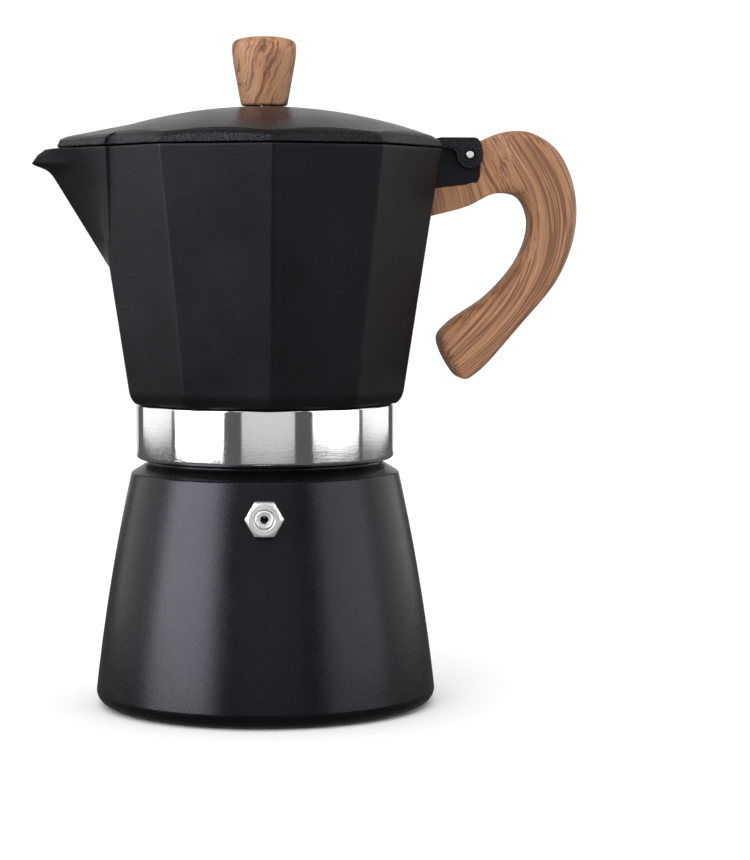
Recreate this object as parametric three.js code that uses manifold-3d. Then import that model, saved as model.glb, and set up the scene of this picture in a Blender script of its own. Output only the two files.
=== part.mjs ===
// Stovetop coffee maker. Millimetres, +Z up, base centre at the origin.
// Spout towards -X, handle towards +X, safety valve towards -Y.
import * as THREE from 'three';
import { ConvexGeometry } from 'three/addons/geometries/ConvexGeometry.js';
import { mergeVertices } from 'three/addons/utils/BufferGeometryUtils.js';
import Module from 'manifold-3d';

const wasm = await Module();
wasm.setup();

// Driving dimensions
const SIDES = 10;
const ROUND = 48; // segments of the large turned pieces
const SMALL = 20; // segments of the small turned pieces

const BOILER_WALL = 2.6;
const BOILER_FLOOR = 3.5;
const MOUTH_R = 31.2;
const NECK_R = 33.6;
const MOUTH_Z = 88.5;
const FOOT_R = 52.6; // outer side of the boiler, at its foot and its shoulder
const FOOT_Z = 4.4;
const SHOULDER_R = 41.4;
const SHOULDER_Z = 72.1;
const SIDE_BOW = 0.95;

const PITCH = 3;
const MALE_CREST_R = 34.6;
const FEMALE_CREST_R = 34;
const COLLAR_BORE_R = 34.9;
const COLLAR_R = 39.8;
const COLLAR_BOTTOM = 76.4;
const COLLAR_TOP = 93.5;

const CHAMBER_BOTTOM = 93.8;
const CHAMBER_FACET_Z = 97.8;
const CHAMBER_TOP = 171.4;
const CHAMBER_LOW_R = 44.1; // to the corners
const CHAMBER_HIGH_R = 55.7;
const CHAMBER_WALL = 2.3;
const CHAMBER_FLOOR = 97.2;

const SPOUT_TIP_X = -71.3;
const SPOUT_TIP_Z = 166.8;
const SPOUT_LOW = 135; // height where the spout leaves the wall
const SPOUT_LOW_X = -47.7;
const SPOUT_LOW_HALF = 15.2; // half widths at the wall
const SPOUT_HIGH_HALF = 25.2;
const SPOUT_ROOT_X = -46.9;
const SPOUT_LEAN = 0.607; // outward run for each unit of height
const SPOUT_WALL = 1.9;

const LID_R = 55.9;
const LID_BOTTOM = 171.8;
const LID_SKIRT_TOP = 175.3;
const LID_TOP = 184.5;
const LID_WALL = 2;
const DOME_R = 152;

const PIN_X = 62.8;
const PIN_Z = 169.8;
const PIN_R = 1.15;
const PIN_HOLE_R = 1.3;
const LUG_HALF = 5;
const EAR_INNER = 5.3;
const EAR_OUTER = 8;

const VALVE_Z = 62;
const VALVE_TURN = -3; // degrees about Z
const VALVE_FLATS = 10;
const VALVE_SEAT_Y = 44.9;

const HANDLE_HALF = 8.5;
const HANDLE_NOSE_HALF = 4.9;
const SCREW_X = 60;

const KNOB_Z = 184.8;

// Solids

function signedVolume(position, index) {
  const a = new THREE.Vector3();
  const b = new THREE.Vector3();
  const c = new THREE.Vector3();
  let sum = 0;
  for (let i = 0; i < index.count; i += 3) {
    a.fromBufferAttribute(position, index.getX(i));
    b.fromBufferAttribute(position, index.getX(i + 1));
    c.fromBufferAttribute(position, index.getX(i + 2));
    sum += a.dot(b.cross(c));
  }
  return sum / 6;
}

// Welds a closed geometry and turns its faces outwards.
function solid(geometry) {
  const bare = geometry.clone();
  bare.deleteAttribute('normal');
  bare.deleteAttribute('uv');
  const welded = mergeVertices(bare, 1e-4);
  const inward = signedVolume(welded.attributes.position, welded.index) < 0;
  const all = welded.index.array;
  const index = [];
  for (let i = 0; i < all.length; i += 3) {
    const [a, b, c] = inward ? [all[i + 1], all[i], all[i + 2]] : [all[i], all[i + 1], all[i + 2]];
    if (a !== b && b !== c && c !== a) index.push(a, b, c);
  }
  return new wasm.Manifold(new wasm.Mesh({
    numProp: 3,
    vertProperties: new Float32Array(welded.attributes.position.array),
    triVerts: new Uint32Array(index),
  }));
}

function geometryOf(shape) {
  const mesh = shape.getMesh();
  const geometry = new THREE.BufferGeometry();
  geometry.setAttribute('position', new THREE.BufferAttribute(mesh.vertProperties, 3));
  geometry.setIndex(new THREE.BufferAttribute(mesh.triVerts, 1));
  geometry.computeVertexNormals();
  return geometry;
}

// Turned solid about Z from [radius, z] pairs.
function turned(profile, segments) {
  const points = profile.map(([r, z]) => new THREE.Vector2(r, z));
  return solid(new THREE.LatheGeometry(points, segments).rotateX(Math.PI / 2));
}

function disc(radius, bottom, top, segments) {
  return turned([[0, bottom], [radius, bottom], [radius, top], [0, top]], segments);
}

// Side profile in X and Z, given thickness along Y, centred on Y = middle.
function slab(points, thickness, middle = 0) {
  const shape = new THREE.Shape(points.map(([x, z]) => new THREE.Vector2(x, z)));
  const geometry = new THREE.ExtrudeGeometry(shape, { depth: thickness, bevelEnabled: false });
  geometry.rotateX(Math.PI / 2).translate(0, middle + thickness / 2, 0);
  return solid(geometry);
}

// Plan outline in X and Y raised from bottom to top.
function raised(points, bottom, top) {
  const shape = new THREE.Shape(points.map(([x, y]) => new THREE.Vector2(x, y)));
  const geometry = new THREE.ExtrudeGeometry(shape, { depth: top - bottom, bevelEnabled: false });
  geometry.translate(0, 0, bottom);
  return solid(geometry);
}

// Skin over rings that all have the same number of points, closed at both ends.
function loft(rings) {
  const size = rings[0].length;
  const positions = rings.flat().flatMap((p) => [p.x, p.y, p.z]);
  const index = [];
  for (let k = 0; k + 1 < rings.length; k += 1) {
    for (let i = 0; i < size; i += 1) {
      const a = k * size + i;
      const b = k * size + (i + 1) % size;
      index.push(a, b, b + size, a, b + size, a + size);
    }
  }
  const last = (rings.length - 1) * size;
  for (let i = 1; i + 1 < size; i += 1) {
    index.push(0, i + 1, i, last, last + i, last + i + 1);
  }
  const geometry = new THREE.BufferGeometry();
  geometry.setAttribute('position', new THREE.Float32BufferAttribute(positions, 3));
  geometry.setIndex(index);
  return solid(geometry);
}

function facetRing(radius, z) {
  const ringPoints = [];
  for (let i = 0; i < SIDES; i += 1) {
    const angle = (i + 0.5) * 2 * Math.PI / SIDES;
    ringPoints.push(new THREE.Vector3(radius * Math.cos(angle), radius * Math.sin(angle), z));
  }
  return ringPoints;
}

function faceted(sections) {
  return loft(sections.map(([radius, z]) => facetRing(radius, z)));
}

// Helical ridge with a trapezoid section; z is the height of its middle at the start.
function threadRidge(rootR, crestR, z, turns) {
  const stepsPerTurn = 24;
  const steps = Math.round(turns * stepsPerTurn);
  const halfRoot = 0.7;
  const halfCrest = 0.35;
  const rings = [];
  for (let i = 0; i <= steps; i += 1) {
    const angle = i * 2 * Math.PI / stepsPerTurn;
    const middle = z + PITCH * i / stepsPerTurn;
    const at = (r, dz) => new THREE.Vector3(r * Math.cos(angle), r * Math.sin(angle), middle + dz);
    rings.push([at(rootR, -halfRoot), at(crestR, -halfCrest), at(crestR, halfCrest), at(rootR, halfRoot)]);
  }
  return loft(rings);
}

function perforated(plate, rows, holeR, bottom, top) {
  let result = plate;
  for (const [radius, count] of rows) {
    for (let i = 0; i < count; i += 1) {
      const angle = i * 2 * Math.PI / count;
      const place = [radius * Math.cos(angle), radius * Math.sin(angle), 0];
      const hole = disc(holeR, bottom, top, 6).translate(place);
      result = result.subtract(hole);
    }
  }
  return result;
}

// Turned solid about a line along Y through (x, z), from [radius, y] pairs.
function turnedAlongY(profile, x, z, segments) {
  const points = profile.map(([r, y]) => new THREE.Vector2(r, y));
  return solid(new THREE.LatheGeometry(points, segments).translate(x, 0, z));
}

function rodAlongY(radius, x, z, from, to, segments) {
  return turnedAlongY([[0, from], [radius, from], [radius, to], [0, to]], x, z, segments);
}

// Sub-parts

// Radius of the boiler's outer side: a straight taper with a slight outward bow.
function boilerSideR(z) {
  const t = (z - FOOT_Z) / (SHOULDER_Z - FOOT_Z);
  return FOOT_R + (SHOULDER_R - FOOT_R) * t + SIDE_BOW * 4 * t * (1 - t);
}

function boilerSide(steps, thickness) {
  const points = [];
  for (let i = 0; i <= steps; i += 1) {
    const z = FOOT_Z + (SHOULDER_Z - FOOT_Z) * (i / steps);
    points.push([boilerSideR(z) - thickness, z]);
  }
  return points;
}

function boiler() {
  const outside = [
    [0, 0], [46.5, 0], [49.6, 0.6], [51.7, 2.1], ...boilerSide(8, 0),
    [36.6, 75], [36.4, 76.1], [NECK_R, 76.1], [NECK_R, MOUTH_Z - 0.5], [NECK_R - 0.5, MOUTH_Z],
  ];
  const inside = boilerSide(6, BOILER_WALL).slice(1, -1).reverse();
  const profile = [
    ...outside, [MOUTH_R, MOUTH_Z], [MOUTH_R, 76], [36.5, 72.6], ...inside,
    [48.8, 6.5], [46.3, BOILER_FLOOR], [0, BOILER_FLOOR],
  ];
  const body = turned(profile, ROUND);
  const thread = threadRidge(NECK_R - 0.6, MALE_CREST_R, 79, 1.75);
  const boss = rodAlongY(4.9, 0, VALVE_Z, -VALVE_SEAT_Y, -38.8, SMALL);
  const hole = rodAlongY(3.6, 0, VALVE_Z, -VALVE_SEAT_Y - 1, -30, SMALL);
  return body.add(thread).add(placedValve(boss)).subtract(placedValve(hole));
}

function placedValve(shape) {
  return shape.rotate([0, 0, VALVE_TURN]);
}

// Profiles of the valve are [radius, distance from the pot's axis].
function valvePiece(profile, segments) {
  return turnedAlongY(profile.map(([r, d]) => [r, -d]), 0, VALVE_Z, segments);
}

function valveWasher() {
  const profile = [[3.8, 45.1], [4.8, 45.1], [4.8, 45.8], [3.8, 45.8], [3.8, 45.1]];
  return placedValve(valvePiece(profile, SMALL));
}

function valveBody() {
  const cornerR = VALVE_FLATS / 2 / Math.cos(Math.PI / 6);
  const back = 46.1;
  const face = 50.4;
  const head = valvePiece([[0, back], [cornerR, back], [cornerR, face], [0, face]], 6);
  const chamfer = valvePiece([
    [0, back - 0.5], [cornerR - 0.5, back - 0.5], [cornerR + 0.3, back + 0.5], [cornerR + 0.3, face - 0.9],
    [cornerR - 1.2, face], [0, face],
  ], 24);
  const shank = valvePiece([[0, 38], [3.1, 38], [3.4, 38.4], [3.4, back + 0.5], [0, back + 0.5]], SMALL);
  const bore = valvePiece([
    [0, 37], [1.2, 37], [1.2, 40.5], [2.3, 40.5], [2.3, 49], [2.95, 49], [2.95, face + 1], [0, face + 1],
  ], SMALL);
  return placedValve(head.intersect(chamfer).add(shank).subtract(bore));
}

function valveBall() {
  const ball = new THREE.SphereGeometry(1.7, 16, 10);
  return placedValve(solid(ball).translate([0, -41.9, VALVE_Z]));
}

class CoilCurve extends THREE.Curve {
  getPoint(t) {
    const turns = 4.5;
    const angle = t * turns * 2 * Math.PI;
    return new THREE.Vector3(1.55 * Math.cos(angle), -44 - 4.2 * t, 1.55 * Math.sin(angle));
  }
}

function valveSpring() {
  const section = new THREE.Shape();
  section.absarc(0, 0, 0.3, 0, 2 * Math.PI, false);
  const geometry = new THREE.ExtrudeGeometry(section, {
    steps: 54, curveSegments: 3, extrudePath: new CoilCurve(),
  });
  return placedValve(solid(geometry).translate([0, 0, VALVE_Z]));
}

function valveCap() {
  const profile = [
    [1.25, 49.2], [2.75, 49.2], [2.75, 50.2], [2.35, 50.4], [2.1, 50.1], [1.25, 50.1], [1.25, 49.2],
  ];
  return placedValve(valvePiece(profile, SMALL));
}

function funnel() {
  const profile = [
    [3, 8], [3.9, 8], [3.9, 58], [5.5, 60.5], [30.4, 65], [30.6, 66], [30.6, 88.8],
    [33.2, 88.8], [33.2, 89.4], [29.9, 89.4], [29.9, 66.2], [5.2, 61.4], [3, 58.6], [3, 8],
  ];
  return turned(profile, 40);
}

function funnelPlate() {
  const bottom = 66.9;
  const top = 67.6;
  return perforated(disc(29.2, bottom, top, 32), [[6, 5], [13, 9], [20, 13]], 1.1, bottom - 1, top + 1);
}

function gasket() {
  return turned([
    [26.5, 89.7], [33.5, 89.7], [33.5, 92.3], [31, 92.3], [30.6, 91.8], [26.5, 91.8], [26.5, 89.7],
  ], 40);
}

function filterPlate() {
  const bottom = 92;
  const plate = turned([
    [0, bottom + 0.5], [24, bottom + 0.5], [25, bottom], [30.2, bottom], [30.2, bottom + 0.6],
    [25.3, bottom + 0.6], [24.3, bottom + 1.1], [0, bottom + 1.1],
  ], 32);
  return perforated(plate, [[5, 5], [11, 9], [17, 12]], 0.9, bottom - 1, bottom + 2);
}

function threadedCollar() {
  const profile = [
    [COLLAR_BORE_R, COLLAR_BOTTOM + 0.6], [COLLAR_BORE_R + 0.6, COLLAR_BOTTOM],
    [COLLAR_R - 0.8, COLLAR_BOTTOM], [COLLAR_R, COLLAR_BOTTOM + 0.8],
    [COLLAR_R, COLLAR_TOP - 0.3], [COLLAR_R - 0.3, COLLAR_TOP],
    [COLLAR_BORE_R, COLLAR_TOP], [COLLAR_BORE_R, COLLAR_BOTTOM + 0.6],
  ];
  const thread = threadRidge(COLLAR_BORE_R + 0.6, FEMALE_CREST_R, 80.5, 1.25);
  return turned(profile, ROUND).add(thread);
}

// The spout leaves the wall at SPOUT_LOW and leans out along a straight keel.
function keelX(z) {
  return SPOUT_LOW_X - SPOUT_LEAN * (z - SPOUT_LOW);
}

// Plan section of the spout: a V with its corner at x = tip, roots on the wall and shoulders between.
function spoutRing(z, inset, out) {
  const rise = (z - SPOUT_LOW) / (CHAMBER_TOP - SPOUT_LOW);
  const keel = keelX(z) + inset * 1.3;
  const rootX = SPOUT_ROOT_X + inset * 1.2;
  const rootY = SPOUT_LOW_HALF + (SPOUT_HIGH_HALF - SPOUT_LOW_HALF) * rise - inset * 0.7;
  const backX = rootX + 8;
  const shoulder = 0.3;
  const side = (sign) => [
    new THREE.Vector3(keel - out, sign * 0.6, z),
    new THREE.Vector3(keel + shoulder * (rootX - keel), sign * shoulder * rootY, z),
    new THREE.Vector3(rootX, sign * rootY, z),
    new THREE.Vector3(backX, sign * (rootY + 1), z),
  ];
  return [...side(-1), ...side(1).reverse()];
}

function spoutSolid(inset) {
  const curl = [
    [SPOUT_LOW + 0.3, 0], [161, 0], [163.5, 0.1], [165, 0.9], [166.2, 3.6], [166.8, 4.1], [173, 3],
  ];
  return loft(curl.map(([z, out]) => spoutRing(z, inset, out)));
}

function chamberCavity() {
  const lowR = CHAMBER_LOW_R - CHAMBER_WALL;
  const highR = CHAMBER_HIGH_R - CHAMBER_WALL;
  return faceted([
    [lowR - 2, CHAMBER_FLOOR], [lowR + 0.1, CHAMBER_FLOOR + 2.2], [highR, CHAMBER_TOP], [highR, 180],
  ]);
}

function lug() {
  const arc = [];
  const clearR = 8.6;
  for (let i = 0; i <= 4; i += 1) {
    const angle = THREE.MathUtils.degToRad(142 + i * 7.5);
    arc.push([PIN_X + clearR * Math.cos(angle), PIN_Z + clearR * Math.sin(angle)]);
  }
  const outline = [
    [46, 159.2], [52.5, 159.8], [63.6, 161.1], [64.9, 161.6], [65.8, 163],
    [66, 174], [65, 175.1], ...arc, [54.2, CHAMBER_TOP], [46, CHAMBER_TOP],
  ];
  return slab(outline, 2 * LUG_HALF);
}

function collector() {
  const wallAt = (z) => CHAMBER_LOW_R
    + (CHAMBER_HIGH_R - CHAMBER_LOW_R) * (z - CHAMBER_FACET_Z) / (CHAMBER_TOP - CHAMBER_FACET_Z);
  const outer = faceted([
    [41.9, CHAMBER_BOTTOM], [43, CHAMBER_BOTTOM + 1], [43.8, CHAMBER_BOTTOM + 2.4],
    [wallAt(CHAMBER_FACET_Z), CHAMBER_FACET_Z], [wallAt(CHAMBER_TOP), CHAMBER_TOP],
  ]);
  const spigot = disc(COLLAR_BORE_R - 0.3, 93.2, CHAMBER_BOTTOM + 1, ROUND);
  const dome = turned([[0, 92], [25, 92], [25, 93.6], [21, 94.8], [0, 94.8]], 32);
  const columnHole = disc(4.8, 90, 100, SMALL);
  const lipCut = slab([
    [-62.8, 171.9], [-66.5, 171], [-68.4, 169.8], [-70.2, 168.4], [SPOUT_TIP_X, SPOUT_TIP_Z + 0.2],
    [-80, SPOUT_TIP_Z], [-80, 190], [-40, 190], [-40, 171.9],
  ], 160);
  const rimCut = slab([[-90, CHAMBER_TOP], [90, CHAMBER_TOP], [90, 200], [-90, 200]], 160);
  const walls = outer.add(spoutSolid(0).subtract(rimCut)).add(spigot);
  const channel = spoutSolid(SPOUT_WALL);
  const hollow = walls.subtract(chamberCavity()).subtract(channelAbove(channel));
  const withLug = hollow.add(lug().subtract(chamberCavity()));
  const pinHole = rodAlongY(PIN_HOLE_R, PIN_X, PIN_Z, -20, 20, SMALL);
  const screwHole = disc(1.9, 150, 168, SMALL).translate([SCREW_X, 0, 0]);
  return withLug.subtract(dome).subtract(columnHole).subtract(lipCut).subtract(pinHole).subtract(screwHole);
}

// The pouring channel opens above the height where the keel leaves the wall.
function channelAbove(channel) {
  const below = slab([[-90, 100], [-30, 100], [-30, 141], [-90, 141]], 160);
  return channel.subtract(below);
}

function riserColumn() {
  const tube = turned([
    [3, 95.1], [4.5, 95.1], [4.5, 97.5], [7.5, 97.5], [7, 100], [6.2, 108], [5.4, 125], [4.9, 151],
    [4.2, 153.6], [2.4, 155], [0, 155.4], [0, 152.6], [2.2, 152], [3, 150.6], [3, 95.1],
  ], 20);
  const slot = slab([[-1.3, 144.5], [1.3, 144.5], [1.3, 150], [-1.3, 150]], 30);
  return tube.subtract(slot);
}

// Outer side, rounded tip and inner side of the handle, then its seat round the lug, in X and Z.
const HANDLE_CURVE = [
  [66.3, 174], [73, 176.7], [82, 176.8], [90.5, 171.4], [95.8, 160], [96.2, 146.5], [91, 132],
  [79.5, 117.7], [65.6, 102.8], [61, 100.8], [56.6, 105.5], [53.8, 113.5], [57, 118], [69.5, 127],
  [79, 138.6], [81.9, 149.5], [78.6, 157.1], [71.5, 158.1], [62, 153.9], [50.3, 150.8],
];
const HANDLE_LUG_SIDE = [[51.7, 159.4], [63.4, 160.7], [65.3, 161.4], [66.3, 163.2]];

function handleOutline() {
  const through = HANDLE_CURVE.map(([x, z]) => new THREE.Vector3(x, z, 0));
  const curve = new THREE.CatmullRomCurve3(through, false, 'centripetal');
  const points = curve.getPoints(72).map((p) => [p.x, p.y]);
  return [...points, ...HANDLE_LUG_SIDE];
}

function handle() {
  const shape = new THREE.Shape(handleOutline().map(([x, z]) => new THREE.Vector2(x, z)));
  const bevel = 1.6;
  const geometry = new THREE.ExtrudeGeometry(shape, {
    depth: 2 * (HANDLE_HALF - bevel), bevelEnabled: true, bevelThickness: bevel, bevelSize: bevel,
    bevelOffset: -bevel, bevelSegments: 3,
  });
  geometry.rotateX(Math.PI / 2).translate(0, HANDLE_HALF - bevel, 0);
  const nose = HANDLE_NOSE_HALF;
  const wide = HANDLE_HALF + 1;
  const plan = raised([
    [40, -nose], [70.7, -nose], [76, -HANDLE_HALF + 0.6], [82, -wide], [110, -wide],
    [110, wide], [82, wide], [76, HANDLE_HALF - 0.6], [70.7, nose], [40, nose],
  ], 144, 190);
  const grip = raised([[40, -20], [110, -20], [110, 20], [40, 20]], 90, 144);
  const screwPath = disc(2.3, 140, 166, SMALL).translate([SCREW_X, 0, 0]);
  const headSeat = disc(3.7, 140, 157.5, SMALL).translate([SCREW_X, 0, 0]);
  return solid(geometry).intersect(plan.add(grip)).subtract(screwPath).subtract(headSeat);
}

function handleScrew() {
  const profile = [
    [0, 154.8], [3.2, 154.8], [3.4, 155.2], [3.4, 157.2], [1.7, 157.2], [1.7, 167], [0, 167.4],
  ];
  const slot = slab([[-5, 150], [5, 150], [5, 155.8], [-5, 155.8]], 0.9);
  return turned(profile, SMALL).subtract(slot).translate([SCREW_X, 0, 0]);
}

function hingePin() {
  const half = EAR_OUTER + 0.4;
  return turnedAlongY([
    [0, -half], [PIN_R - 0.3, -half], [PIN_R, -half + 0.3],
    [PIN_R, half - 0.3], [PIN_R - 0.3, half], [0, half],
  ], PIN_X, PIN_Z, SMALL);
}

// Lid outline, grown inwards by inset: the ten-sided rim, the dome and the beak.
function lidBulk(inset, bottom) {
  const prism = faceted([[LID_R - inset, bottom], [LID_R - inset, LID_TOP + 2]]);
  const domeRadius = DOME_R - inset;
  const rings = [];
  for (let i = 0; i <= 7; i += 1) {
    const r = 60 * (1 - i / 7);
    rings.push([r, LID_TOP - DOME_R + Math.sqrt(domeRadius * domeRadius - r * r)]);
  }
  const dome = turned([[0, bottom], [60, bottom], ...rings], inset ? 20 : 40);
  return prism.intersect(dome).add(lidBeak(inset, bottom));
}

function lidBeak(inset, bottom) {
  const tip = -63.1 + 1.4 * inset;
  const ridgeZ = 174.9 - 1.1 * inset;
  const half = 25.5 - inset;
  const corner = -46.3 + 0.2 * inset;
  const points = [];
  for (const z of [bottom, ridgeZ - 0.4]) {
    points.push([tip + 1, -2.2, z], [tip, -1, z], [tip, 1, z], [tip + 1, 2.2, z]);
  }
  for (const side of [-1, 1]) {
    points.push([corner, side * half, bottom], [corner, side * half, LID_SKIRT_TOP - 0.4 - inset]);
    points.push([-20, side * half, bottom], [-20, side * half, LID_SKIRT_TOP + 0.5 - inset]);
  }
  points.push([tip + 0.8, 0, ridgeZ], [-33, 0, 180.7 - inset], [-20, 0, 181 - inset]);
  return solid(new ConvexGeometry(points.map(([x, y, z]) => new THREE.Vector3(x, y, z))));
}

function lidEar(side) {
  const lobe = [];
  const lobeR = 4.1;
  for (let i = 0; i <= 10; i += 1) {
    const angle = THREE.MathUtils.degToRad(10 - i * 19);
    lobe.push([PIN_X + lobeR * Math.cos(angle), PIN_Z + lobeR * Math.sin(angle)]);
  }
  const outline = [
    [51, 175.1], [64.9, 175.1], [66.1, 173.6], ...lobe, [57.6, LID_BOTTOM], [51, LID_BOTTOM],
  ];
  const middle = side * (EAR_INNER + EAR_OUTER) / 2;
  return slab(outline, EAR_OUTER - EAR_INNER, middle);
}

function lid() {
  const skin = lidBulk(0, LID_BOTTOM).add(lidEar(-1)).add(lidEar(1));
  const hollow = lidBulk(LID_WALL, LID_BOTTOM - 1);
  const pinHole = rodAlongY(PIN_HOLE_R, PIN_X, PIN_Z, -20, 20, SMALL);
  const knobHole = disc(2.3, 170, 190, SMALL);
  return skin.subtract(hollow).subtract(pinHole).subtract(knobHole);
}

function knob() {
  const profile = [
    [0, KNOB_Z], [6.8, KNOB_Z], [7.2, KNOB_Z + 0.4], [7.7, 188], [8.3, 191.3], [8.9, 194.5], [9.5, 198],
    [9.9, 201.5], [9.7, 203.6], [8.9, 204.8], [7.4, 205.3], [4, 205.7], [0, 205.9],
  ];
  const socket = disc(3.1, KNOB_Z - 1, 197.3, SMALL);
  return turned(profile, 32).subtract(socket);
}

function knobInsert() {
  const flanged = turned([
    [0, 185], [2.9, 185], [2.9, 188], [2.5, 188.6], [2.5, 194], [2.9, 194.6], [2.9, 197], [0, 197],
  ], SMALL);
  return flanged.subtract(disc(1.9, 184, 196, SMALL));
}

function knobScrew() {
  const top = LID_TOP - LID_WALL;
  const profile = [
    [0, top - 2.6], [2.6, top - 2.6], [3.6, top - 1.8], [3.6, top - 0.4],
    [1.7, top - 0.4], [1.7, 195.2], [0, 195.4],
  ];
  const slot = slab([[-5, 170], [5, 170], [5, top - 1.7], [-5, top - 1.7]], 0.9);
  return turned(profile, SMALL).subtract(slot);
}

// Surfaces

const FINISH = {
  satinBlack: [0x1c1d1f, 0.45, 0.6],
  castBlack: [0x232327, 0.55, 0.5],
  glossBlack: [0x151819, 0.2, 0.6],
  polished: [0xd8dadb, 0.08, 1],
  steel: [0xb9bcc0, 0.3, 1],
  aluminium: [0xb4b7ba, 0.4, 1],
  brass: [0xb89a55, 0.35, 1],
  fibre: [0x7c3a2c, 0.8, 0],
  rubber: [0xd9d6cc, 0.8, 0],
  wood: [0xb4896c, 0.55, 0],
};

const PIECES = {
  boiler: [boiler, FINISH.satinBlack],
  valve_washer: [valveWasher, FINISH.fibre],
  valve_body: [valveBody, FINISH.steel],
  valve_ball: [valveBall, FINISH.steel],
  valve_spring: [valveSpring, FINISH.steel],
  valve_cap: [valveCap, FINISH.steel],
  funnel: [funnel, FINISH.aluminium],
  funnel_plate: [funnelPlate, FINISH.aluminium],
  gasket: [gasket, FINISH.rubber],
  filter_plate: [filterPlate, FINISH.aluminium],
  threaded_collar: [threadedCollar, FINISH.polished],
  collector: [collector, FINISH.castBlack],
  riser_column: [riserColumn, FINISH.aluminium],
  handle: [handle, FINISH.wood],
  handle_screw: [handleScrew, FINISH.steel],
  hinge_pin: [hingePin, FINISH.steel],
  lid: [lid, FINISH.glossBlack],
  knob: [knob, FINISH.wood],
  knob_insert: [knobInsert, FINISH.brass],
  knob_screw: [knobScrew, FINISH.steel],
};

const pot = new THREE.Group();
for (const [name, [make, [color, roughness, metalness]]] of Object.entries(PIECES)) {
  const material = new THREE.MeshStandardMaterial({ color, roughness, metalness });
  const mesh = new THREE.Mesh(geometryOf(make()), material);
  mesh.name = name;
  pot.add(mesh);
}

export default pot;
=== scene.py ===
"""Stovetop moka pot: fine meshes, materials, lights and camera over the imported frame."""

import math

import bmesh
import bpy
import numpy as np
from mathutils import Matrix, Vector


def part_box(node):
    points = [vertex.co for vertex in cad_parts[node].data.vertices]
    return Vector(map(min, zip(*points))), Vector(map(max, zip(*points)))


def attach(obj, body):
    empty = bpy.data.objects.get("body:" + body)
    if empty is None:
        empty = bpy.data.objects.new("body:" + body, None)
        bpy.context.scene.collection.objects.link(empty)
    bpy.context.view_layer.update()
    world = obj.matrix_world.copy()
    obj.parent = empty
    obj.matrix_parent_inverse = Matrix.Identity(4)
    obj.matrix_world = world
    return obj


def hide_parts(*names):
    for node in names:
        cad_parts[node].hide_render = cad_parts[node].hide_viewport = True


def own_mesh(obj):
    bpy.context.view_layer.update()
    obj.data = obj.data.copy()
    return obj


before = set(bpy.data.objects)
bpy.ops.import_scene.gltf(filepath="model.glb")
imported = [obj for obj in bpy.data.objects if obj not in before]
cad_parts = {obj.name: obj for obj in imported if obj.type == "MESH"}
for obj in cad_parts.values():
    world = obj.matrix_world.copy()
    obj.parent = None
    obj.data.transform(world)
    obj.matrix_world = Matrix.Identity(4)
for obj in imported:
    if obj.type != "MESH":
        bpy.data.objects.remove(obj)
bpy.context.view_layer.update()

MM = 0.001
TAU = 2 * math.pi


# ---------------------------------------------------------------- sizes, in millimetres
def span(node):
    low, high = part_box(node)
    return [v / MM for v in low], [v / MM for v in high]


COLLAR_LOW, COLLAR_HIGH = span("threaded_collar")
BOILER_LOW, BOILER_HIGH = span("boiler")
KNOB_LOW, KNOB_HIGH = span("knob")
HANDLE_HIGH = span("handle")[1]

SIDES = 10
CHAMBER_BOTTOM = 93.8
CHAMBER_FACET_Z = 97.8
CHAMBER_TOP = 171.4
CHAMBER_LOW_R = 44.1
CHAMBER_HIGH_R = 55.7
CHAMBER_WALL = 2.3
CHAMBER_FLOOR = 97.2
CHAMBER_ROUND_HEIGHT, CHAMBER_ROUND_IN = 4.2, 2.26
SPOUT_LOW = 135
SPOUT_LOW_X = -47.7
SPOUT_LEAN = 0.607
SPOUT_HIGH_HALF = 25.2
# The pouring lip: its height along X, and how far its tip curls out with height.
LIP_X = [-71.3, -70.2, -68.4, -66.5, -62.8]
LIP_Z = [166.9, 168.4, 169.8, 171, CHAMBER_TOP]
CURL_Z = [161, 162.5, 163.5, 164.3, 165, 165.6, 166.2, 166.8, 173]
CURL_OUT = [0, 0.03, 0.15, 0.45, 1.0, 2.1, 3.4, 4.1, 3]

LID_R = 55.9
LID_BOTTOM = 171.8
LID_TOP = 184.5
LID_WALL = 2
SKIRT_LEAN = 0.5
DOME_R = 152
BEAK_POINT_X = -68
BEAK_TIP_X = -63.2
BEAK_ROOT_Y = 25.5
BEAK_ROOF_X, BEAK_ROOF_Z = -62.3, 174.9
BEAK_RISE, BEAK_FALL = 0.198, 0.124

PIN_X, PIN_Z = 62.8, 169.8
PIN_R = 1.15
EAR_INNER, EAR_OUTER = 5.3, 8
LUG_HALF = 5

VALVE_Z = 62
VALVE_TURN = math.radians(-3)
VALVE_HALF_FLATS = 5
BALL_R, BALL_AT = 1.7, 41.9
SPRING_R, SPRING_WIRE_R = 1.55, 0.3
SPRING_START, SPRING_END = 44, 48.2
SCREW_X = 60

SHARP = math.radians(40)
TINY = 1e-6


# ---------------------------------------------------------------- mesh helpers
def add_mesh(name, points, faces, smooth_angle=35):
    """A mesh object from points in millimetres, faces outwards, smooth below smooth_angle degrees."""
    mesh = bpy.data.meshes.new(name)
    mesh.from_pydata([tuple(v * MM for v in p) for p in points], [], faces)
    bm = bmesh.new()
    bm.from_mesh(mesh)
    bmesh.ops.recalc_face_normals(bm, faces=bm.faces)
    for face in bm.faces:
        face.smooth = True
    limit = math.radians(smooth_angle)
    for edge in bm.edges:
        if len(edge.link_faces) == 2 and edge.calc_face_angle(0) > limit:
            edge.smooth = False
    bm.to_mesh(mesh)
    bm.free()
    obj = bpy.data.objects.new(name, mesh)
    bpy.context.scene.collection.objects.link(obj)
    return obj


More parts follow.
